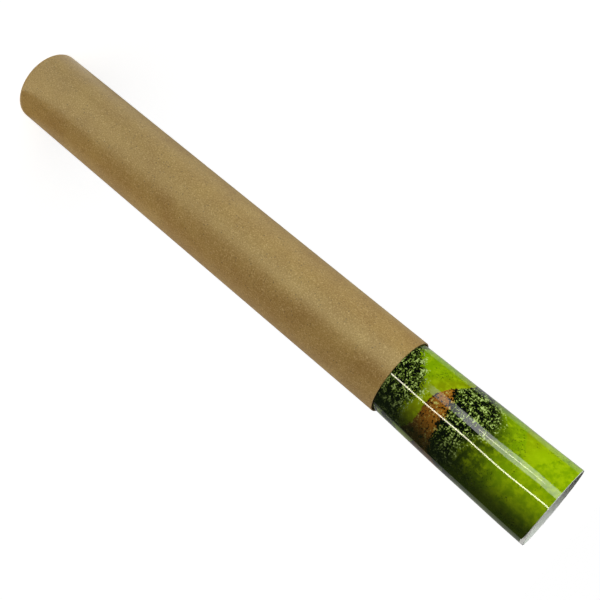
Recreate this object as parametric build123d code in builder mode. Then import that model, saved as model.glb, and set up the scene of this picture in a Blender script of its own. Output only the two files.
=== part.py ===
from build123d import *
import math
import os

# Kraft tube: board wound into a tube and cut square at both ends
tube_bore = 76.0
tube_wall = 1.5
tube_length = 500.0
rim_softening = 0.2

# Rolled print: one stiff sheet, wound picture side out, that springs open past the mouth
print_width = 450.0
print_length = 600.0
sheet_thickness = 0.3
roll_clearance = 0.4
turn_gap = 0.3
print_reach = 175.0
flare_growth = 4.3
flare_shift = 2.6
flare_turn_gap = 0.7
free_edge_angle = -30.0
arc_span = 90.0
flare_steps = 3

# End plug: a moulded cup pushed into the far end, open side outwards
plug_depth = 18.0
plug_inset = 0.4
plug_wall = 1.2
plug_floor = 1.6
plug_corner = 2.0
plug_lead_in = 1.5
plug_clearance = 0.25
barb_count = 2
barb_height = 0.6
barb_width = 2.4
barb_pitch = 5.0
lip_height = 2.5
lip_depth = 1.2

bore_radius = tube_bore / 2
tube_radius = bore_radius + tube_wall
roll_radius = bore_radius - roll_clearance
skirt_radius = bore_radius - plug_clearance - barb_height
cup_radius = skirt_radius - plug_wall

# Heights along the tube, from the far end that it stands on
mouth_height = tube_length
free_end_height = mouth_height + print_reach
inner_end_height = free_end_height - print_width
plug_top = plug_inset + plug_depth
plug_cup_top = plug_top - plug_floor
lip_top = plug_inset + lip_height

# The widest turn, at the free end, holds the fewest whole arcs of the sheet
full_arcs = int(print_length / (math.radians(arc_span) * (roll_radius + flare_growth)))


def roll_section(height, centre_x, outer_radius, gap):
    """Section of the wound sheet: arcs of one span, each tangent to the one before it and tighter by its
    share of the pitch, and a last arc that uses up what is left of the sheet's length."""
    pitch = sheet_thickness + gap
    half_sheet = sheet_thickness / 2
    centre = Vector(centre_x, 0)
    radius = outer_radius - half_sheet
    angle = free_edge_angle
    length_left = print_length
    picture_side = []
    back_side = []
    with BuildSketch(Plane.XY.offset(height)) as section:
        with BuildLine():
            for arc in range(full_arcs + 1):
                last = arc == full_arcs
                span = math.degrees(length_left / radius) if last else arc_span
                picture_side.append(CenterArc(centre, radius + half_sheet, angle, -span))
                back_side.append(CenterArc(centre, radius - half_sheet, angle, -span))
                length_left -= math.radians(span) * radius
                angle -= span
                tightening = pitch * span / 360
                centre += Vector(tightening, 0).rotate(Axis.Z, angle)
                radius -= tightening
            Line(picture_side[0] @ 0, back_side[0] @ 0)
            Line(picture_side[-1] @ 1, back_side[-1] @ 1)
        make_face()
    return section.sketch


with BuildPart() as kraft_tube:
    with BuildSketch():
        Circle(tube_radius)
        Circle(bore_radius, mode=Mode.SUBTRACT)
    extrude(amount=tube_length)
    chamfer(kraft_tube.edges().filter_by(GeomType.CIRCLE), length=min(rim_softening, tube_wall / 4))

# The roll opens fastest at the mouth and leans to the side of its loose edge
flare_sections = []
for step in range(flare_steps + 1):
    rise_share = step / flare_steps
    opening_share = rise_share * (3 - rise_share) / 2
    flare_sections.append(
        roll_section(
            mouth_height + rise_share * print_reach,
            opening_share * flare_shift,
            roll_radius + opening_share * flare_growth,
            turn_gap + opening_share * (flare_turn_gap - turn_gap),
        )
    )

with BuildPart() as rolled_print:
    extrude(flare_sections[0], amount=inner_end_height - mouth_height)
    loft(flare_sections, ruled=True)

with BuildPart() as end_plug:
    with BuildSketch(Plane.XZ):
        with BuildLine():
            Polyline(
                (0, plug_top),
                (0, plug_cup_top),
                (cup_radius - plug_corner, plug_cup_top),
                (cup_radius, plug_cup_top - plug_corner),
                (cup_radius, lip_top + lip_depth),
                (cup_radius - lip_depth, lip_top),
                (cup_radius - lip_depth, plug_inset),
                (skirt_radius, plug_inset),
                (skirt_radius, plug_top - plug_lead_in),
                (skirt_radius - plug_lead_in, plug_top),
                close=True,
            )
        make_face()
        # Each barb slopes towards the inner end, so that the plug goes in more easily than it comes out
        with Locations((skirt_radius, plug_inset + plug_depth / 2)):
            with GridLocations(0, barb_pitch, 1, barb_count):
                Polygon(
                    (-plug_wall / 2, 0),
                    (0, -barb_width / 2),
                    (barb_height, barb_height - barb_width / 2),
                    (0, barb_width / 2),
                    align=None,
                )
    revolve(axis=Axis.Z)

kraft_tube.part.label = "kraft_tube"
rolled_print.part.label = "rolled_print"
end_plug.part.label = "end_plug"

os.makedirs("parts", exist_ok=True)
export_step(kraft_tube.part, "parts/kraft_tube.step")
export_step(rolled_print.part, "parts/rolled_print.step")
export_step(end_plug.part, "parts/end_plug.step")
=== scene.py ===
"""Mailing tube: a kraft board tube that stands on its plugged end, with a glossy print in its mouth."""
import math

import bpy
import numpy as np
from mathutils import Matrix, Vector


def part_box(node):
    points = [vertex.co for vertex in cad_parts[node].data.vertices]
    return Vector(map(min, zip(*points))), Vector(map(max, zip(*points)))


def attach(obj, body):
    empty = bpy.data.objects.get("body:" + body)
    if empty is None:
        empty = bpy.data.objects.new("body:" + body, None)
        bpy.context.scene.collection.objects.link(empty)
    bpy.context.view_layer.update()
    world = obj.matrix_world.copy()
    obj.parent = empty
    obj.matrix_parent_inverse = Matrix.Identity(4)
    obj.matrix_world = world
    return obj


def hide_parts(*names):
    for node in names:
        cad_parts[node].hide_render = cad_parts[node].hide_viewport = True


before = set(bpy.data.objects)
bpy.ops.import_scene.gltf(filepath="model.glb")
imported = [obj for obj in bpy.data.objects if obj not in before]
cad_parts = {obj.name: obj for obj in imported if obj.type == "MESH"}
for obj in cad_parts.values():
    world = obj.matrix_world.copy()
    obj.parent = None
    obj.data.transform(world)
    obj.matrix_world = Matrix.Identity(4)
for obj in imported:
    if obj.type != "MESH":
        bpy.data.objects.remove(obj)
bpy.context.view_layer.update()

# Sizes in metres. Heights and outside radii come from the frame. The rest are the driving sizes of the
# solids and, for the small forms that the solids leave out, sizes of this script's own
MM = 0.001
_, tube_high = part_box("kraft_tube")
print_low, print_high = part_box("rolled_print")
plug_low, plug_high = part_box("end_plug")

TUBE_RADIUS = tube_high.x
TUBE_WALL = 1.5 * MM
BORE_RADIUS = TUBE_RADIUS - TUBE_WALL
MOUTH_HEIGHT = tube_high.z
RIM_ROUNDING = 0.45 * MM
PLY_COUNT = 4
PLY_GROOVE_DEPTH = 0.07 * MM
PLY_GROOVE_HALF = 0.06 * MM
TUBE_STEPS = 192
WALL_STEP = 6 * MM
RIM_SUPPORT = 0.6 * MM

SHEET_THICKNESS = 0.3 * MM
SHEET_LENGTH = 600 * MM
SHEET_WIDTH = print_high.z - print_low.z
ROLL_CLEARANCE = 0.4 * MM
ROLL_RADIUS = BORE_RADIUS - ROLL_CLEARANCE
FLARE_GROWTH = 4.3 * MM
FLARE_SHIFT = 2.6 * MM
TURN_GAP = 0.3 * MM
FLARE_TURN_GAP = 0.7 * MM
FREE_EDGE_ANGLE = math.radians(-30)
EDGE_LIFT = 0.5 * MM
EDGE_LIFT_REACH = 5 * MM
EDGE_SLIP = 2.6 * MM
EDGE_SLIP_REACH = 28 * MM
WAVE_DEPTH = 0.13 * MM
WAVE_ROUND = 57 * MM
WAVE_UP = 92 * MM
WINDING_STEPS = 480
INSIDE_STEPS = 10
FLARE_STEPS = 44

PLUG_WALL = 1.2 * MM
PLUG_FLOOR = 1.6 * MM
PLUG_CORNER = 2.0 * MM
PLUG_LEAD_IN = 1.5 * MM
PLUG_SOFTENING = 0.25 * MM
BARB_COUNT = 2
BARB_HEIGHT = 0.6 * MM
BARB_WIDTH = 2.4 * MM
BARB_PITCH = 5.0 * MM
LIP_HEIGHT = 2.5 * MM
LIP_DEPTH = 1.2 * MM
PLUG_STEPS = 160

ARC_STEPS = 6
LONG_RUN_SUPPORTS = 4
SHARP_ANGLE = math.radians(40)
FULL_TURN = 2 * math.pi


# Shapes

def unit(vector):
    """The vector divided by its own length."""
    return vector / np.linalg.norm(vector)


def rounded(corners, radii, closed):
    """Outline through the corners, with each corner replaced by an arc of its radius. The arc leaves both
    sides at radius times the tangent of half the turn, and its spoke swings through the turn."""
    corners = np.array(corners, float)
    before = np.roll(corners, 1, axis=0)
    after = np.roll(corners, -1, axis=0)
    outline = []
    for place, (corner, radius) in enumerate(zip(corners, radii)):
        at_end = not closed and place in (0, len(corners) - 1)
        if at_end or radius == 0:
            outline.append(corner[None])
            continue
        incoming = unit(corner - before[place])
        outgoing = unit(after[place] - corner)
        cross = incoming[0] * outgoing[1] - incoming[1] * outgoing[0]
        turn = math.atan2(cross, incoming @ outgoing)
        start = corner - incoming * radius * math.tan(abs(turn) / 2)
        towards_centre = math.copysign(1, turn) * np.array([-incoming[1], incoming[0]])
        spoke = -towards_centre * radius
        swing = np.linspace(0, turn, ARC_STEPS + 1)
        swung = np.stack(
            [
                spoke[0] * np.cos(swing) - spoke[1] * np.sin(swing),
                spoke[0] * np.sin(swing) + spoke[1] * np.cos(swing),
            ],
            axis=1,
        )
        outline.append(start - spoke + swung)
    return np.concatenate(outline)


def spaced(outline, step, support, closed):
    """The outline with points added on its long runs: one at the support distance from each end of the run,
    so that the wall stays flat up to its rounded edge, and the rest evenly, at most a step apart."""
    ends = np.roll(outline, -1, axis=0) if closed else outline[1:]
    runs = []
    for start, end in zip(outline, ends):
        length = np.linalg.norm(end - start)
        share = np.zeros(1)
        if length > LONG_RUN_SUPPORTS * support:
            between = np.linspace(support, length - support, max(2, math.ceil(length / step) + 1))
            share = np.concatenate([share, between / length])
        runs.append(start + share[:, None] * (end - start))
    if not closed:
        runs.append(outline[-1:])
    return np.concatenate(runs)


def new_piece(name, points, faces, materials):
    """Mesh object at the origin from its points and faces, smooth but for its sharp edges."""
    mesh = bpy.data.meshes.new(name)
    mesh.from_pydata(points, [], faces)
    for material in materials:
        mesh.materials.append(material)
    mesh.shade_smooth()
    mesh.set_sharp_from_angle(angle=SHARP_ANGLE)
    piece = bpy.data.objects.new(name, mesh)
    bpy.context.scene.collection.objects.link(piece)
    return piece


def turned(outline, steps):
    """Points of a surface of revolution: each outline point (radius, height) goes once round the Z axis."""
    angle = np.arange(steps) * FULL_TURN / steps
    radius, height = outline[:, 0, None], outline[:, 1, None]
    x = radius * np.cos(angle)
    y = radius * np.sin(angle)
    z = np.broadcast_to(height, x.shape)
    return np.stack([x, y, z], axis=-1)


def grid_faces(rows, columns, rows_close, columns_close):
    """Quads between neighbouring rows and columns of a grid of points. Rows that close have the last one
    joined to the first, and so do columns."""
    row = np.arange(rows if rows_close else rows - 1)[:, None]
    column = np.arange(columns if columns_close else columns - 1)
    start = row * columns
    next_start = (row + 1) % rows * columns
    next_column = (column + 1) % columns
    quads = [start + column, start + next_column, next_start + next_column, next_start + column]
    return np.stack(quads, axis=-1).reshape(-1, 4)


def rim_outline(height, outward):
    """Cut end of the wall from the outside to the bore: a flat ring with a fine groove at each ply line."""
    lines = np.arange(1, PLY_COUNT) / PLY_COUNT * TUBE_WALL
    groove = np.array([-PLY_GROOVE_HALF, 0, PLY_GROOVE_HALF])
    depth = np.array([0, -PLY_GROOVE_DEPTH, 0])
    radius = TUBE_RADIUS - (lines[:, None] + groove).ravel()
    rise = np.tile(depth, PLY_COUNT - 1) * outward
    return np.stack([radius, height + rise], axis=1)


def make_tube(paper, board):
    """Kraft tube: a closed outline of outer wall, grooved rim, bore and grooved foot, turned about the
    axis. It is paper outside and in the bore, and cut board between its rounded edges."""
    mouth_rim = rim_outline(MOUTH_HEIGHT, 1)
    foot_rim = rim_outline(0, -1)[::-1]
    corners = np.concatenate(
        [
            [(TUBE_RADIUS, 0), (TUBE_RADIUS, MOUTH_HEIGHT)],
            mouth_rim,
            [(BORE_RADIUS, MOUTH_HEIGHT), (BORE_RADIUS, 0)],
            foot_rim,
        ]
    )
    flat = np.zeros(len(mouth_rim))
    edge = np.full(2, RIM_ROUNDING)
    outline = rounded(corners, np.concatenate([edge, flat, edge, flat]), closed=True)
    outline = spaced(outline, WALL_STEP, RIM_SUPPORT, closed=True)
    points = turned(outline, TUBE_STEPS).reshape(-1, 3)
    faces = grid_faces(len(outline), TUBE_STEPS, rows_close=True, columns_close=True)
    piece = new_piece("kraft_wall", points, faces, [paper, board])
    middle = points[faces].mean(axis=1)
    radius = np.hypot(middle[:, 0], middle[:, 1])
    inside_wall = (radius < TUBE_RADIUS - RIM_ROUNDING / 2) & (radius > BORE_RADIUS + RIM_ROUNDING / 2)
    piece.data.polygons.foreach_set("material_index", inside_wall.astype(np.int32))
    return piece


def wound_sheet():
    """Middle surface of the rolled print, on a grid of sheet length by height. At each height the sheet is
    an Archimedean spiral from its free edge inwards: the radius falls by one pitch a turn, so the length
    along it is R a - p a^2 / 4 pi for the angle a, which is solved for a. Past the mouth the roll's radius,
    pitch and lean grow with the opening share, 1.5 x - 0.5 x^2 of the way x to the free end, and the free
    edge lifts off. The free edge has also slipped back into the tube. Both die away exponentially with the
    distance from it. Where the roll is open, a slanting sine wave makes the sheet a little uneven."""
    along = np.linspace(0, SHEET_LENGTH, WINDING_STEPS + 1)
    inside = np.linspace(print_low.z, MOUTH_HEIGHT, INSIDE_STEPS, endpoint=False)
    outside = np.linspace(MOUTH_HEIGHT, print_high.z, FLARE_STEPS + 1)
    length, height = np.meshgrid(along, np.concatenate([inside, outside]), indexing="ij")
    slipped = height - EDGE_SLIP * np.exp(-length / EDGE_SLIP_REACH)
    way = np.clip((slipped - MOUTH_HEIGHT) / (print_high.z - MOUTH_HEIGHT), 0, 1)
    opening = 1.5 * way - 0.5 * way**2
    outer = ROLL_RADIUS + FLARE_GROWTH * opening - SHEET_THICKNESS / 2
    pitch = SHEET_THICKNESS + TURN_GAP + (FLARE_TURN_GAP - TURN_GAP) * opening
    angle = FULL_TURN / pitch * (outer - np.sqrt(outer**2 - length * pitch / math.pi))
    radius = outer - pitch * angle / FULL_TURN
    radius += EDGE_LIFT * opening * np.exp(-length / EDGE_LIFT_REACH)
    radius += WAVE_DEPTH * opening * np.sin(FULL_TURN * (length / WAVE_ROUND + height / WAVE_UP))
    bearing = FREE_EDGE_ANGLE - angle
    x = FLARE_SHIFT * opening + radius * np.cos(bearing)
    y = radius * np.sin(bearing)
    return length, height, np.stack([x, y, slipped], axis=-1)


def make_print(picture, white_back):
    """Rolled print: the middle surface moved by half the sheet's thickness along its normal, to the picture
    side and to the back, and joined along the four edges. Its UV map is the flat sheet in metres."""
    length, height, middle = wound_sheet()
    normal = np.cross(np.gradient(middle, axis=1), np.gradient(middle, axis=0))
    normal /= np.linalg.norm(normal, axis=-1, keepdims=True)
    front = middle + normal * SHEET_THICKNESS / 2
    back = middle - normal * SHEET_THICKNESS / 2
    rows, columns = length.shape
    loop = np.concatenate([front, back[::-1]])
    loop_faces = grid_faces(2 * rows, columns, rows_close=True, columns_close=False)
    row = np.arange(rows - 1)
    partner = 2 * rows - 1 - row
    low_edge = np.stack([row, row + 1, partner - 1, partner], axis=1) * columns
    high_edge = low_edge[:, ::-1] + columns - 1
    faces = np.concatenate([loop_faces, low_edge, high_edge])
    piece = new_piece("print_sheet", loop.reshape(-1, 3), faces, [picture, white_back])
    on_front = (faces < rows * columns).all(axis=1)
    piece.data.polygons.foreach_set("material_index", (~on_front).astype(np.int32))
    flat = np.stack([length, height - print_low.z], axis=-1)
    flat = np.concatenate([flat, flat[::-1]]).reshape(-1, 2)
    sheet_map = piece.data.uv_layers.new(name="sheet")
    sheet_map.data.foreach_set("uv", flat[faces.ravel()].astype(np.float32).ravel())
    return piece


def make_plug(plastic):
    """End plug: the cup's half outline, from the top of its floor on the axis, round the barbed skirt and
    the lip to the underside of the floor, turned about the axis, with a fan of triangles at each pole."""
    low, high = plug_low.z, plug_high.z
    skirt = plug_high.x - BARB_HEIGHT
    cup = skirt - PLUG_WALL
    middle = (low + high) / 2
    barbs = middle + (np.arange(BARB_COUNT)[::-1] - (BARB_COUNT - 1) / 2) * BARB_PITCH
    barb_radius = np.array([skirt, skirt + BARB_HEIGHT, skirt])
    barb_rise = np.array([BARB_WIDTH / 2, BARB_HEIGHT - BARB_WIDTH / 2, -BARB_WIDTH / 2])
    skirt_barbs = np.stack([np.tile(barb_radius, BARB_COUNT), (barbs[:, None] + barb_rise).ravel()], axis=1)
    corners = np.concatenate(
        [
            [(0, high), (skirt - PLUG_LEAD_IN, high), (skirt, high - PLUG_LEAD_IN)],
            skirt_barbs,
            [(skirt, low), (cup - LIP_DEPTH, low), (cup - LIP_DEPTH, low + LIP_HEIGHT)],
            [(cup, low + LIP_HEIGHT + LIP_DEPTH), (cup, high - PLUG_FLOOR), (0, high - PLUG_FLOOR)],
        ]
    )
    radii = np.full(len(corners), PLUG_SOFTENING)
    radii[-2] = PLUG_CORNER
    outline = rounded(corners, radii, closed=False)
    outline = spaced(outline, WALL_STEP, PLUG_SOFTENING, closed=False)[1:-1]
    points = turned(outline, PLUG_STEPS).reshape(-1, 3)
    wall = grid_faces(len(outline), PLUG_STEPS, rows_close=False, columns_close=True)[:, ::-1]
    ring = np.arange(PLUG_STEPS)
    next_ring = np.roll(ring, -1)
    last_row = len(points) - PLUG_STEPS
    top, under = len(points), len(points) + 1
    points = np.concatenate([points, [(0, 0, high), (0, 0, high - PLUG_FLOOR)]])
    top_fan = np.stack([np.full(PLUG_STEPS, top), ring, next_ring], axis=1)
    under_fan = np.stack([np.full(PLUG_STEPS, under), last_row + next_ring, last_row + ring], axis=1)
    faces = wall.tolist() + top_fan.tolist() + under_fan.tolist()
    return new_piece("plug_cup", points, faces, [plastic])


# Materials. A noise's scale is its number of blobs to the metre, and most of its values lie in its spread

NOISE_MIDDLE = 0.5
NOISE_SPREAD = (0.3, 0.7)
SPECK_CORE = 0.6

# A colour mix's sockets are known by number, because their names repeat
MIX_SHARE, MIX_FIRST, MIX_SECOND = 0, 6, 7
MIX_RESULT = 2


def add_node(tree, kind, inputs=(), **settings):
    """A new node with its settings, and its input sockets, by name or number, set or linked."""
    node = tree.nodes.new(kind)
    for setting, value in settings.items():
        setattr(node, setting, value)
    for socket, value in dict(inputs).items():
        if isinstance(value, bpy.types.NodeSocket):
            tree.links.new(value, node.inputs[socket])
        else:
            node.inputs[socket].default_value = value
    return node


class Finish:
    """A procedural material: a principled shader, and short ways to add the nodes that drive it."""

    def __init__(self, name, **values):
        self.material = bpy.data.materials.new(name)
        self.material.use_nodes = True
        self.tree = self.material.node_tree
        self.shader = self.tree.nodes["Principled BSDF"]
        for socket, value in values.items():
            self.shader.inputs[socket.replace("_", " ")].default_value = value

    def place(self, kind="Object"):
        """Where the surface point is: on the object in metres, or on the UV map."""
        return add_node(self.tree, "ShaderNodeTexCoord").outputs[kind]

    def axes(self, place):
        """The three coordinates of a place."""
        return add_node(self.tree, "ShaderNodeSeparateXYZ", {0: place}).outputs

    def math(self, operation, *values):
        """One number worked out from up to three others."""
        return add_node(self.tree, "ShaderNodeMath", enumerate(values), operation=operation).outputs[0]

    def centred(self, value):
        """A value from 0 to 1, moved to lie about 0."""
        return self.math("SUBTRACT", value, NOISE_MIDDLE)

    def off_half(self, value):
        """How far the value's fraction is from a half."""
        return self.math("ABSOLUTE", self.centred(self.math("FRACT", value)))

    def stretched(self, place, scale):
        """The place with each axis scaled by itself."""
        return add_node(self.tree, "ShaderNodeMapping", {"Vector": place, "Scale": scale}).outputs[0]

    def noise(self, place, scale, detail, roughness=0.5):
        """Cloudy noise from 0 to 1."""
        inputs = {"Vector": place, "Scale": scale, "Detail": detail, "Roughness": roughness}
        return add_node(self.tree, "ShaderNodeTexNoise", inputs).outputs["Fac"]

    def specks(self, place, scale, size, share):
        """1 inside round specks of a size (in cells), in that share of the cells, and 0 between them."""
        cells = add_node(self.tree, "ShaderNodeTexVoronoi", {"Vector": place, "Scale": scale}).outputs
        drawn = add_node(self.tree, "ShaderNodeSeparateColor", {0: cells["Color"]}).outputs[0]
        near = self.ramp(cells["Distance"], size, SPECK_CORE * size)
        return self.math("MULTIPLY", near, self.math("LESS_THAN", drawn, share))

    def ramp(self, value, low, high):
        """0 below low and 1 above high, smooth between; low above high turns it round."""
        inputs = {"Value": value, "From Min": low, "From Max": high}
        return add_node(self.tree, "ShaderNodeMapRange", inputs, interpolation_type="SMOOTHSTEP").outputs[0]

    def mix(self, share, first, second):
        """The first colour turning into the second by the share."""
        inputs = {MIX_SHARE: share, MIX_FIRST: first, MIX_SECOND: second}
        return add_node(self.tree, "ShaderNodeMix", inputs, data_type="RGBA").outputs[MIX_RESULT]

    def tinted(self, tone, share, strength, tint):
        """The tone turning into the tint by the share, as far as the strength lets it."""
        return self.mix(self.math("MULTIPLY", share, strength), tone, tint)

    def set(self, socket, value):
        """Links a worked-out value to a socket of the shader."""
        self.tree.links.new(value, self.shader.inputs[socket])

    def bump(self, height, distance, strength):
        """Relief of that height times the distance, in metres."""
        inputs = {"Height": height, "Distance": distance, "Strength": strength}
        self.set("Normal", add_node(self.tree, "ShaderNodeBump", inputs).outputs[0])


def colour(red, green, blue):
    """A colour given as it is seen on a screen, from 0 to 255, turned into the linear one that shaders use
    by the screen's standard curve."""
    seen = np.array([red, green, blue]) / 255
    linear = np.where(seen <= 0.04045, seen / 12.92, ((seen + 0.055) / 1.055) ** 2.4)
    return (*linear, 1.0)


KRAFT = colour(157, 123, 63)
KRAFT_DARK = colour(143, 107, 51)
KRAFT_LIGHT = colour(195, 165, 108)
KRAFT_SHADE = colour(102, 71, 30)
KRAFT_SPECK = colour(96, 72, 44)
KRAFT_FIBRE = colour(186, 165, 122)
KRAFT_SHEEN = (0.96, 1.0, 0.62, 1.0)
KRAFT_RELIEF = 0.05 * MM
FIBRE_STRETCH = (1.0, 1.0, 0.18)
FIBRE_RELIEF = 0.7
SPECK_STRENGTH = 0.85
SEAM_LEAD = 210 * MM
SEAM_WIDTH = 0.25 * MM
SEAM_CORE = 0.05 * MM
SEAM_STRENGTH = 0.12

# The marks of a noise on the paper: the values where the mark starts and is full, its strength and tone
GRAIN_MARKS = [(0.48, 0.72, 0.95, KRAFT_LIGHT), (0.50, 0.28, 0.75, KRAFT_SHADE)]
FIBRE_MARKS = [(0.62, 0.80, 0.50, KRAFT_FIBRE), (0.42, 0.25, 0.45, KRAFT_DARK)]


def kraft_paper():
    """Matte kraft paper: cloudy tone, fine fibres drawn out along the tube, dark and pale specks, and the
    hairline where the outer ply's edges meet, a helix whose height grows by the lead each turn."""
    paper = Finish("kraft_paper", Roughness=0.42, Specular_IOR_Level=1.0, Specular_Tint=KRAFT_SHEEN)
    place = paper.place()
    cloud = paper.noise(place, scale=28, detail=4)
    grain = paper.noise(place, scale=760, detail=4, roughness=0.72)
    fibre = paper.noise(paper.stretched(place, FIBRE_STRETCH), scale=1500, detail=2, roughness=0.6)
    tone = paper.mix(paper.ramp(cloud, *NOISE_SPREAD), KRAFT_DARK, KRAFT)
    for noise, marks in ((grain, GRAIN_MARKS), (fibre, FIBRE_MARKS)):
        for start, full, strength, mark in marks:
            tone = paper.tinted(tone, paper.ramp(noise, start, full), strength, mark)
    specks = paper.specks(place, scale=420, size=0.34, share=0.1)
    tone = paper.tinted(tone, specks, SPECK_STRENGTH, KRAFT_SPECK)
    x, y, z = paper.axes(place)
    turn = paper.math("DIVIDE", paper.math("ARCTAN2", y, x), FULL_TURN)
    winding = paper.math("SUBTRACT", paper.math("DIVIDE", z, SEAM_LEAD), turn)
    off_seam = paper.math("MULTIPLY", paper.off_half(winding), SEAM_LEAD)
    seam = paper.ramp(off_seam, SEAM_WIDTH, SEAM_CORE)
    paper.set("Base Color", paper.tinted(tone, seam, SEAM_STRENGTH, KRAFT_SPECK))
    relief = paper.math("MULTIPLY_ADD", fibre, FIBRE_RELIEF, grain)
    paper.bump(paper.math("SUBTRACT", relief, seam), KRAFT_RELIEF, strength=0.6)
    return paper.material


# The board's dark tones are partly the board's own colour and partly painted shade on the rim's cut face
BOARD_DARK = colour(128, 100, 60)
BOARD_LIGHT = colour(156, 128, 84)
BOARD_RELIEF = 0.1 * MM
PLY_LINE_TONE = colour(86, 64, 36)
PLY_LINE_STRENGTH = 0.6

# In plies: half of one, and how far from the line between two its dark fades out and is full
HALF_PLY = 0.5
PLY_LINE_EDGE = 0.2
PLY_LINE_CORE = 0.05


def cut_board():
    """The tube's cut ends: dull, fuzzy board with a thin dark line between its plies. Its dark tones are
    partly the board's own colour and partly painted shade on the cut face.
    """
    board = Finish("cut_board", Roughness=0.85, Specular_IOR_Level=0.2)
    place = board.place()
    x, y, _ = board.axes(place)
    flat = add_node(board.tree, "ShaderNodeCombineXYZ", {0: x, 1: y}).outputs[0]
    radius = add_node(board.tree, "ShaderNodeVectorMath", {0: flat}, operation="LENGTH").outputs["Value"]
    plies = board.math("DIVIDE", board.math("SUBTRACT", TUBE_RADIUS, radius), TUBE_WALL / PLY_COUNT)
    off_line = board.off_half(board.math("ADD", plies, HALF_PLY))
    line = board.ramp(off_line, PLY_LINE_EDGE, PLY_LINE_CORE)
    fuzz = board.noise(place, scale=1800, detail=4, roughness=0.7)
    tone = board.mix(board.ramp(fuzz, *NOISE_SPREAD), BOARD_DARK, BOARD_LIGHT)
    board.set("Base Color", board.tinted(tone, line, PLY_LINE_STRENGTH, PLY_LINE_TONE))
    board.bump(fuzz, BOARD_RELIEF, strength=0.7)
    return board.material


LIME = colour(148, 178, 3)
LIME_BRIGHT = colour(164, 190, 12)
LIME_DEEP = colour(122, 156, 3)
OLIVE = colour(130, 143, 4)
DARK_GREEN = colour(42, 56, 8)
NEAR_BLACK = colour(9, 13, 8)
LEAF = colour(96, 118, 34)
PALE_LEAF = colour(184, 202, 120)
OCHRE = colour(160, 104, 30)
OCHRE_DARK = colour(104, 64, 18)
STRAW = colour(190, 184, 96)
SHADE_TONE = colour(20, 28, 14)
PAPER_WHITE = colour(229, 229, 223)

# Each hill of the picture, from the far one to the near one: its ridge's height on the sheet, the ridge's
# two waves (height of the wave, length of the wave, start in turns), its tone at the ridge and at its foot,
# how deep under the ridge its foot is, and its cover
HILLS = [
    (0.426, (0.014, 0.210, 0.62), (0.004, 0.080, 0.30), LIME, OLIVE, 0.045, "grass"),
    (0.390, (0.018, 0.250, 0.05), (0.005, 0.090, 0.80), LIME_DEEP, DARK_GREEN, 0.042, "shrubs"),
    (0.358, (0.014, 0.190, 0.95), (0.006, 0.064, 0.20), NEAR_BLACK, NEAR_BLACK, 0.030, "leaves"),
    (0.338, (0.016, 0.260, 0.40), (0.004, 0.080, 0.60), OCHRE, OCHRE_DARK, 0.030, "stubble"),
    (0.319, (0.012, 0.200, 0.80), (0.005, 0.074, 0.05), OLIVE, LIME_DEEP, 0.030, "grass"),
    (0.297, (0.013, 0.180, 0.20), (0.006, 0.060, 0.45), NEAR_BLACK, NEAR_BLACK, 0.030, "leaves"),
    (0.252, (0.015, 0.240, 0.65), (0.004, 0.084, 0.90), LIME, OLIVE, 0.045, "shrubs"),
]
RIDGE_SOFTNESS = 0.4 * MM
RIDGE_RAGGEDNESS = {"grass": 5 * MM, "shrubs": 12 * MM, "leaves": 32 * MM, "stubble": 26 * MM}

# The values of a noise where each kind of mark on the hills starts and is full
SUNNY_RANGE = (0.42, 0.68)
FLECK_RANGE = (0.44, 0.36)
DENSE_RANGE = {"grass": (0.50, 0.60), "shrubs": (0.42, 0.52)}
LEAF_RANGE = (0.50, 0.57)
PALE_LEAF_RANGE = (0.59, 0.66)
STRAW_RANGE = (0.60, 0.70)
STUBBLE_GAP_RANGE = (0.44, 0.38)
SUNNY_STRENGTH = 0.6
FLECK_STRENGTH = 0.85
CLUMPING = 0.9

# The dark towards the free edge, and the band of painted shade one turn in from it, where the inner turn
# lies under the free edge: where each fades along the sheet, and how strong it is. Then where the white
# margin starts, how fast it widens and how sharp it is
VIGNETTE_FROM = 8 * MM
VIGNETTE_TO = 46 * MM
VIGNETTE_STRENGTH = 0.93
SHADE_MIDDLE = 260 * MM
SHADE_FROM = 12 * MM
SHADE_TO = 45 * MM
SHADE_STRENGTH = 0.85
MARGIN_FROM = 75 * MM
MARGIN_SLOPE = 0.02
MARGIN_SOFTNESS = 0.2 * MM
PRINT_RELIEF = 0.004 * MM


def hill_cover(picture, cover, tone, cloud, mottle, fleck):
    """The marks on a hill. Grass is mottled, with dark flecks where the cloud is dense; shrubs have more of
    them; leaves are two brighter tones in clumps over the dark; stubble is straw with dark gaps."""
    if cover in ("grass", "shrubs"):
        tone = picture.tinted(tone, picture.ramp(mottle, *SUNNY_RANGE), SUNNY_STRENGTH, LIME_BRIGHT)
        dense = picture.ramp(cloud, *DENSE_RANGE[cover])
        flecks = picture.math("MULTIPLY", picture.ramp(fleck, *FLECK_RANGE), dense)
        return picture.tinted(tone, flecks, FLECK_STRENGTH, DARK_GREEN)
    clumped = picture.math("MULTIPLY_ADD", picture.centred(mottle), CLUMPING, fleck)
    if cover == "leaves":
        tone = picture.mix(picture.ramp(clumped, *LEAF_RANGE), tone, LEAF)
        return picture.mix(picture.ramp(clumped, *PALE_LEAF_RANGE), tone, PALE_LEAF)
    tone = picture.mix(picture.ramp(clumped, *STRAW_RANGE), tone, STRAW)
    return picture.mix(picture.ramp(clumped, *STUBBLE_GAP_RANGE), tone, NEAR_BLACK)


def ridge_height(picture, along, height, waves, raggedness, noises):
    """Height of a hill's ridge on the sheet: a sum of sine waves along it, made ragged by the noises."""
    ridge = height
    for size, wave_length, start in waves:
        phase = picture.math("MULTIPLY_ADD", along, FULL_TURN / wave_length, FULL_TURN * start)
        ridge = picture.math("MULTIPLY_ADD", picture.math("SINE", phase), size, ridge)
    for noise in noises:
        ridge = picture.math("MULTIPLY_ADD", picture.centred(noise), raggedness, ridge)
    return ridge


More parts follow.
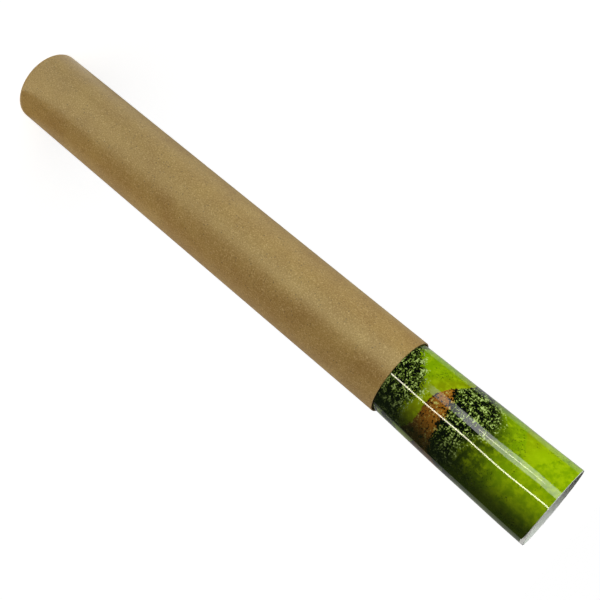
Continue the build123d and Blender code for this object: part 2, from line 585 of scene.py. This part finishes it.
def landscape_print():
    """Glossy print of rolling hills in plain fields of green. A hill covers what is under its ridge, and
    its tone goes from the ridge's to the foot's with the depth under the ridge. Towards the sheet's free
    edge the picture darkens, and across one band one turn in from it, where the inner turn lies under the
    free edge, it carries painted shade. It lies slightly askew on the sheet, so that a white margin widens
    along the outer end, away from the free edge."""
    picture = Finish("landscape_print", Roughness=0.05, IOR=1.5, Specular_IOR_Level=0.5)
    place = picture.place("UV")
    along, up, _ = picture.axes(place)
    cloud = picture.noise(place, scale=40, detail=3, roughness=0.55)
    mottle = picture.noise(place, scale=150, detail=4, roughness=0.62)
    fleck = picture.noise(place, scale=560, detail=3, roughness=0.6)
    tone = picture.mix(picture.ramp(mottle, *NOISE_SPREAD), LIME_DEEP, LIME)
    tone = hill_cover(picture, "grass", tone, cloud, mottle, fleck)
    for height, swell, ripple, ridge_tone, foot_tone, foot_depth, cover in HILLS:
        raggedness = RIDGE_RAGGEDNESS[cover]
        ridge = ridge_height(picture, along, height, (swell, ripple), raggedness, (mottle, fleck))
        depth = picture.math("SUBTRACT", ridge, up)
        fade = picture.math("ADD", picture.math("DIVIDE", depth, foot_depth), picture.centred(cloud))
        hill = picture.mix(picture.ramp(fade, 0.0, 1.0), ridge_tone, foot_tone)
        hill = hill_cover(picture, cover, hill, cloud, mottle, fleck)
        tone = picture.mix(picture.ramp(depth, -RIDGE_SOFTNESS, RIDGE_SOFTNESS), tone, hill)
    from_edge = picture.math("MULTIPLY_ADD", picture.centred(mottle), VIGNETTE_FROM, along)
    vignette = picture.ramp(from_edge, VIGNETTE_TO, VIGNETTE_FROM)
    tone = picture.tinted(tone, vignette, VIGNETTE_STRENGTH, SHADE_TONE)
    # Painted shade: a dark band one turn in from the free edge, where the inner turn lies under the outer
    # turn's edge
    from_shade = picture.math("ABSOLUTE", picture.math("SUBTRACT", from_edge, SHADE_MIDDLE))
    tone = picture.tinted(tone, picture.ramp(from_shade, SHADE_TO, SHADE_FROM), SHADE_STRENGTH, SHADE_TONE)
    askew = picture.math("MAXIMUM", picture.math("SUBTRACT", along, MARGIN_FROM), 0.0)
    level_up = picture.math("MULTIPLY_ADD", askew, MARGIN_SLOPE, up)
    margin = picture.ramp(picture.math("SUBTRACT", level_up, SHEET_WIDTH), 0.0, MARGIN_SOFTNESS)
    picture.set("Base Color", picture.mix(margin, tone, PAPER_WHITE))
    picture.bump(picture.noise(place, scale=90, detail=2), PRINT_RELIEF, strength=0.5)
    return picture.material


BACK_GREY = colour(222, 221, 214)
BACK_WHITE = colour(236, 236, 231)
BACK_RELIEF = 0.01 * MM


def paper_back():
    """White uncoated back and edges of the sheet, with a faint fibrous cloud."""
    back = Finish("paper_back", Roughness=0.6, Specular_IOR_Level=0.3)
    place = back.place()
    cloud = back.noise(place, scale=240, detail=4, roughness=0.6)
    back.set("Base Color", back.mix(back.ramp(cloud, *NOISE_SPREAD), BACK_GREY, BACK_WHITE))
    back.bump(back.noise(place, scale=2600, detail=3), BACK_RELIEF, strength=0.5)
    return back.material


MILKY_GREY = colour(219, 219, 213)
MILKY_WHITE = colour(232, 232, 227)
PLASTIC_RELIEF = 0.02 * MM
PLASTIC_ROUGHNESS = 0.33
PLASTIC_ROUGHNESS_GAIN = 0.2


def milky_plastic():
    """Moulded polyethylene: milky white, waxy, with faint cloudiness and a fine spark-eroded grain."""
    plastic = Finish("milky_plastic", IOR=1.5, Specular_IOR_Level=0.4)
    place = plastic.place()
    cloud = plastic.noise(place, scale=60, detail=3)
    grain = plastic.noise(place, scale=2400, detail=2, roughness=0.6)
    plastic.set("Base Color", plastic.mix(cloud, MILKY_GREY, MILKY_WHITE))
    roughness = plastic.math("MULTIPLY_ADD", grain, PLASTIC_ROUGHNESS_GAIN, PLASTIC_ROUGHNESS)
    plastic.set("Roughness", roughness)
    plastic.bump(grain, PLASTIC_RELIEF, strength=0.5)
    return plastic.material


# Stage. The camera's place, view and lens were fitted to the tube's outline in the photograph

CAMERA_PLACE = Vector((0.0, -0.932796, 0.723454))
CAMERA_LOOK = Vector((0.00413367, 0.93746763, -0.34804792))
CAMERA_RIGHT = Vector((-0.63847672, 0.27034697, 0.72059697))
CAMERA_LENS = 62.8103
CAMERA_SENSOR = 36.0


def make_camera():
    """The photograph's camera: it looks down on the tube's mouth, rolled until the tube lies across."""
    data = bpy.data.cameras.new("camera")
    data.sensor_width = CAMERA_SENSOR
    data.lens = CAMERA_LENS
    camera = bpy.data.objects.new("camera", data)
    up = CAMERA_RIGHT.cross(CAMERA_LOOK)
    turn = Matrix((CAMERA_RIGHT, up, -CAMERA_LOOK)).transposed().to_4x4()
    camera.matrix_world = Matrix.Translation(CAMERA_PLACE) @ turn
    bpy.context.scene.collection.objects.link(camera)
    bpy.context.scene.camera = camera


def background_level(tree, lighting, seen):
    """The level of a surface or of the world as it lights the object, and as it is seen: by the camera, in
    gloss and through glass."""
    path = add_node(tree, "ShaderNodeLightPath").outputs
    seen_ray = path["Is Camera Ray"]
    for ray in ("Is Glossy Ray", "Is Transmission Ray"):
        both = {0: seen_ray, 1: path[ray]}
        seen_ray = add_node(tree, "ShaderNodeMath", both, operation="MAXIMUM").outputs[0]
    levels = {"Value": seen_ray, "To Min": lighting, "To Max": seen}
    return add_node(tree, "ShaderNodeMapRange", levels).outputs[0]


FLOOR_HALF = 30.0
FLOOR_TONE = (0.86, 0.86, 0.86, 1.0)
FLOOR_GLOW = 0.76
FLOOR_BOUNCE = 0.1


def make_floor():
    """Plain white floor, seen from above alone: the light from above falls on it, and to the eye its own
    white is added, so that only the object's shadow is darker than white. It throws the object a glow."""
    corners = FLOOR_HALF * np.array([(-1, -1, 0), (1, -1, 0), (1, 1, 0), (-1, 1, 0)])
    material = bpy.data.materials.new("white_floor")
    material.use_nodes = True
    tree = material.node_tree
    tree.nodes.clear()
    lit = add_node(tree, "ShaderNodeBsdfDiffuse", {"Color": FLOOR_TONE}).outputs[0]
    level = background_level(tree, FLOOR_BOUNCE, FLOOR_GLOW)
    glow = add_node(tree, "ShaderNodeEmission", {"Strength": level}).outputs[0]
    upper = add_node(tree, "ShaderNodeAddShader", {0: lit, 1: glow}).outputs[0]
    under = add_node(tree, "ShaderNodeBsdfTransparent").outputs[0]
    from_below = add_node(tree, "ShaderNodeNewGeometry").outputs["Backfacing"]
    sides = add_node(tree, "ShaderNodeMixShader", {0: from_below, 1: upper, 2: under}).outputs[0]
    add_node(tree, "ShaderNodeOutputMaterial", {"Surface": sides})
    floor = new_piece("floor", corners, [(0, 1, 2, 3)], [material])
    return floor


WORLD_LEVEL = 0.03
WORLD_SEEN = 1.0
WORLD_TONE = (1.0, 1.0, 1.0, 1.0)


def make_world():
    """Soft white surroundings, plain white to the eye."""
    world = bpy.data.worlds.new("soft_white")
    world.use_nodes = True
    bpy.context.scene.world = world
    tree = world.node_tree
    background = tree.nodes["Background"].inputs
    background["Color"].default_value = WORLD_TONE
    tree.links.new(background_level(tree, WORLD_LEVEL, WORLD_SEEN), background["Strength"])


# Each lamp: its name, its angle in degrees round the tube from the camera's side towards +X, its distance,
# its width, the heights of its lower and upper edge, its level, its tint, whether it lights matte surfaces,
# whether gloss mirrors it, and the pieces that it falls on
WHITE = (1.0, 1.0, 1.0)
CREAM = (1.0, 0.95, 0.72)
COOL = (0.90, 1.0, 0.95)
LAMPS = [
    ("band_lamp", -31, 1.0, 0.36, 0.345, 1.15, 4.5, WHITE, True, True, "all"),
    ("band_foot_lamp", -31, 1.0, 0.36, 0.285, 0.345, 2.0, WHITE, True, True, "all"),
    ("band_core_lamp", -31, 0.97, 0.02, 0.42, 0.56, 20.0, CREAM, False, True, "print"),
    ("line_lamp", 7, 1.0, 0.055, 0.15, 1.10, 21.0, CREAM, False, True, "print"),
    ("sheen_lamp", -66, 1.0, 2.0, 0.06, 0.30, 0.7, WHITE, False, True, "tube"),
    ("peak_lamp", -6, 1.0, 0.40, 0.02, 0.30, 3.2, WHITE, False, True, "tube"),
    ("side_lamp", -70, 1.5, 1.6, 0.65, 1.25, 5.7, COOL, True, False, "all"),
    ("fill_lamp", 93, 1.5, 1.8, 0.02, 0.40, 6.4, WHITE, True, False, "all"),
    ("foot_lamp", 52, 0.6, 0.55, 0.02, 0.20, 3.4, WHITE, True, False, "all"),
    ("back_lamp", 180, 2.0, 1.6, 0.65, 1.25, 4.0, WHITE, True, False, "all"),
]


def strip_lamp(lit, name, angle, distance, width, low, high, level, tint, lights, mirrored, falls_on):
    """A soft box that stands upright, faces the tube's axis and falls on the pieces of one lit collection.
    Its power is the level, where 1 is plain white in a mirror, times pi times its area."""
    data = bpy.data.lights.new(name, "AREA")
    data.shape = "RECTANGLE"
    data.color = tint
    data.size = width
    data.size_y = high - low
    data.energy = level * math.pi * width * (high - low)
    lamp = bpy.data.objects.new(name, data)
    turn = math.radians(angle)
    away = Vector((math.sin(turn), -math.cos(turn), 0)) * distance
    lamp.location = away + Vector((0, 0, (low + high) / 2))
    lamp.rotation_euler = (math.pi / 2, 0, turn)
    lamp.visible_camera = False
    lamp.visible_diffuse = lights
    lamp.visible_glossy = mirrored
    lamp.light_linking.receiver_collection = lit[falls_on]
    bpy.context.scene.collection.objects.link(lamp)


SUN_LEVEL = 0.9
SUN_TILT = math.radians(14)
SUN_SOFTNESS = math.radians(30)


def make_sun(floor):
    """A soft light from almost straight above, on the floor alone, where the tube throws a short shadow."""
    data = bpy.data.lights.new("top_light", "SUN")
    data.energy = SUN_LEVEL
    data.angle = SUN_SOFTNESS
    sun = bpy.data.objects.new("top_light", data)
    sun.rotation_euler = (SUN_TILT, 0, 0)
    lit_floor = bpy.data.collections.new("lit_floor")
    lit_floor.objects.link(floor)
    sun.light_linking.receiver_collection = lit_floor
    bpy.context.scene.collection.objects.link(sun)


# Each card: its name, where its arc starts and ends, in degrees round the tube from the camera's side
# towards +X, its level, and the distances and heights of its two long edges. The cards stand round the tube
# or lie on the floor
CARD_DISTANCE = 1.25
CARD_TOP = 0.85
CARD_RAISE = 0.08
CARD_NEAR_REACH = 0.30
CARD_CLEARANCE = 1 * MM
CARD_STEPS = 24
STANDING = ((CARD_DISTANCE, CARD_CLEARANCE), (CARD_DISTANCE, CARD_TOP))
RAISED = ((CARD_DISTANCE, CARD_RAISE), (CARD_DISTANCE, CARD_TOP))
LYING = ((TUBE_RADIUS + CARD_CLEARANCE, CARD_CLEARANCE), (CARD_DISTANCE, CARD_CLEARANCE))
LYING_NEAR = (LYING[0], (CARD_NEAR_REACH, CARD_CLEARANCE))
LYING_FAR = ((CARD_NEAR_REACH, CARD_CLEARANCE), LYING[1])
CARDS = [
    ("left_card", -178, -122, 0.40, STANDING),
    ("dark_raised_card", -122, 22, 0.0, RAISED),
    ("dark_card", 22, 116, 0.0, STANDING),
    ("right_card", 116, 178, 0.30, STANDING),
    ("left_low_card", -178, -112, 0.40, LYING),
    ("bright_near_card", -34, 34, 1.5, LYING_NEAR),
    ("dark_near_card", 34, 92, 0.0, LYING_NEAR),
    ("dark_far_card", 20, 92, 0.0, LYING_FAR),
    ("right_low_card", 92, 178, 0.30, LYING),
]


def make_card(name, start, end, level, edges):
    """A plain card round the tube, seen by gloss alone. The dark ones give the sheens a dark ground to lie
    on, and the paler ones lighten it. It is an arc about the axis, carried from one edge's distance and
    height to the other's."""
    turn = np.radians(np.linspace(start, end, CARD_STEPS + 1))
    arc = np.stack([np.sin(turn), -np.cos(turn)], axis=1)
    rows = [np.column_stack([arc * radius, np.full(len(arc), height)]) for radius, height in edges]
    faces = grid_faces(len(rows), len(arc), rows_close=False, columns_close=False)[:, ::-1]
    finish = Finish(
        name,
        Base_Color=(0, 0, 0, 1),
        Roughness=1.0,
        Specular_IOR_Level=0.0,
        Emission_Color=(level, level, level, 1),
        Emission_Strength=1.0,
    )
    card = new_piece(name, np.concatenate(rows), faces, [finish.material])
    card.visible_camera = False
    card.visible_diffuse = False
    card.visible_shadow = False


bpy.context.scene.view_settings.view_transform = "Standard"
make_camera()
make_world()
make_sun(make_floor())
for card in CARDS:
    make_card(*card)
lit = {name: bpy.data.collections.new("lit_" + name) for name in ("all", "tube", "print")}
for lamp in LAMPS:
    strip_lamp(lit, *lamp)

tube = make_tube(kraft_paper(), cut_board())
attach(tube, "tube")
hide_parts("kraft_tube")

sheet = make_print(landscape_print(), paper_back())
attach(sheet, "tube")
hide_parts("rolled_print")

plug = make_plug(milky_plastic())
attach(plug, "plug")
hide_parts("end_plug")

lit["tube"].objects.link(tube)
lit["print"].objects.link(sheet)
for piece in (tube, sheet, plug):
    lit["all"].objects.link(piece)
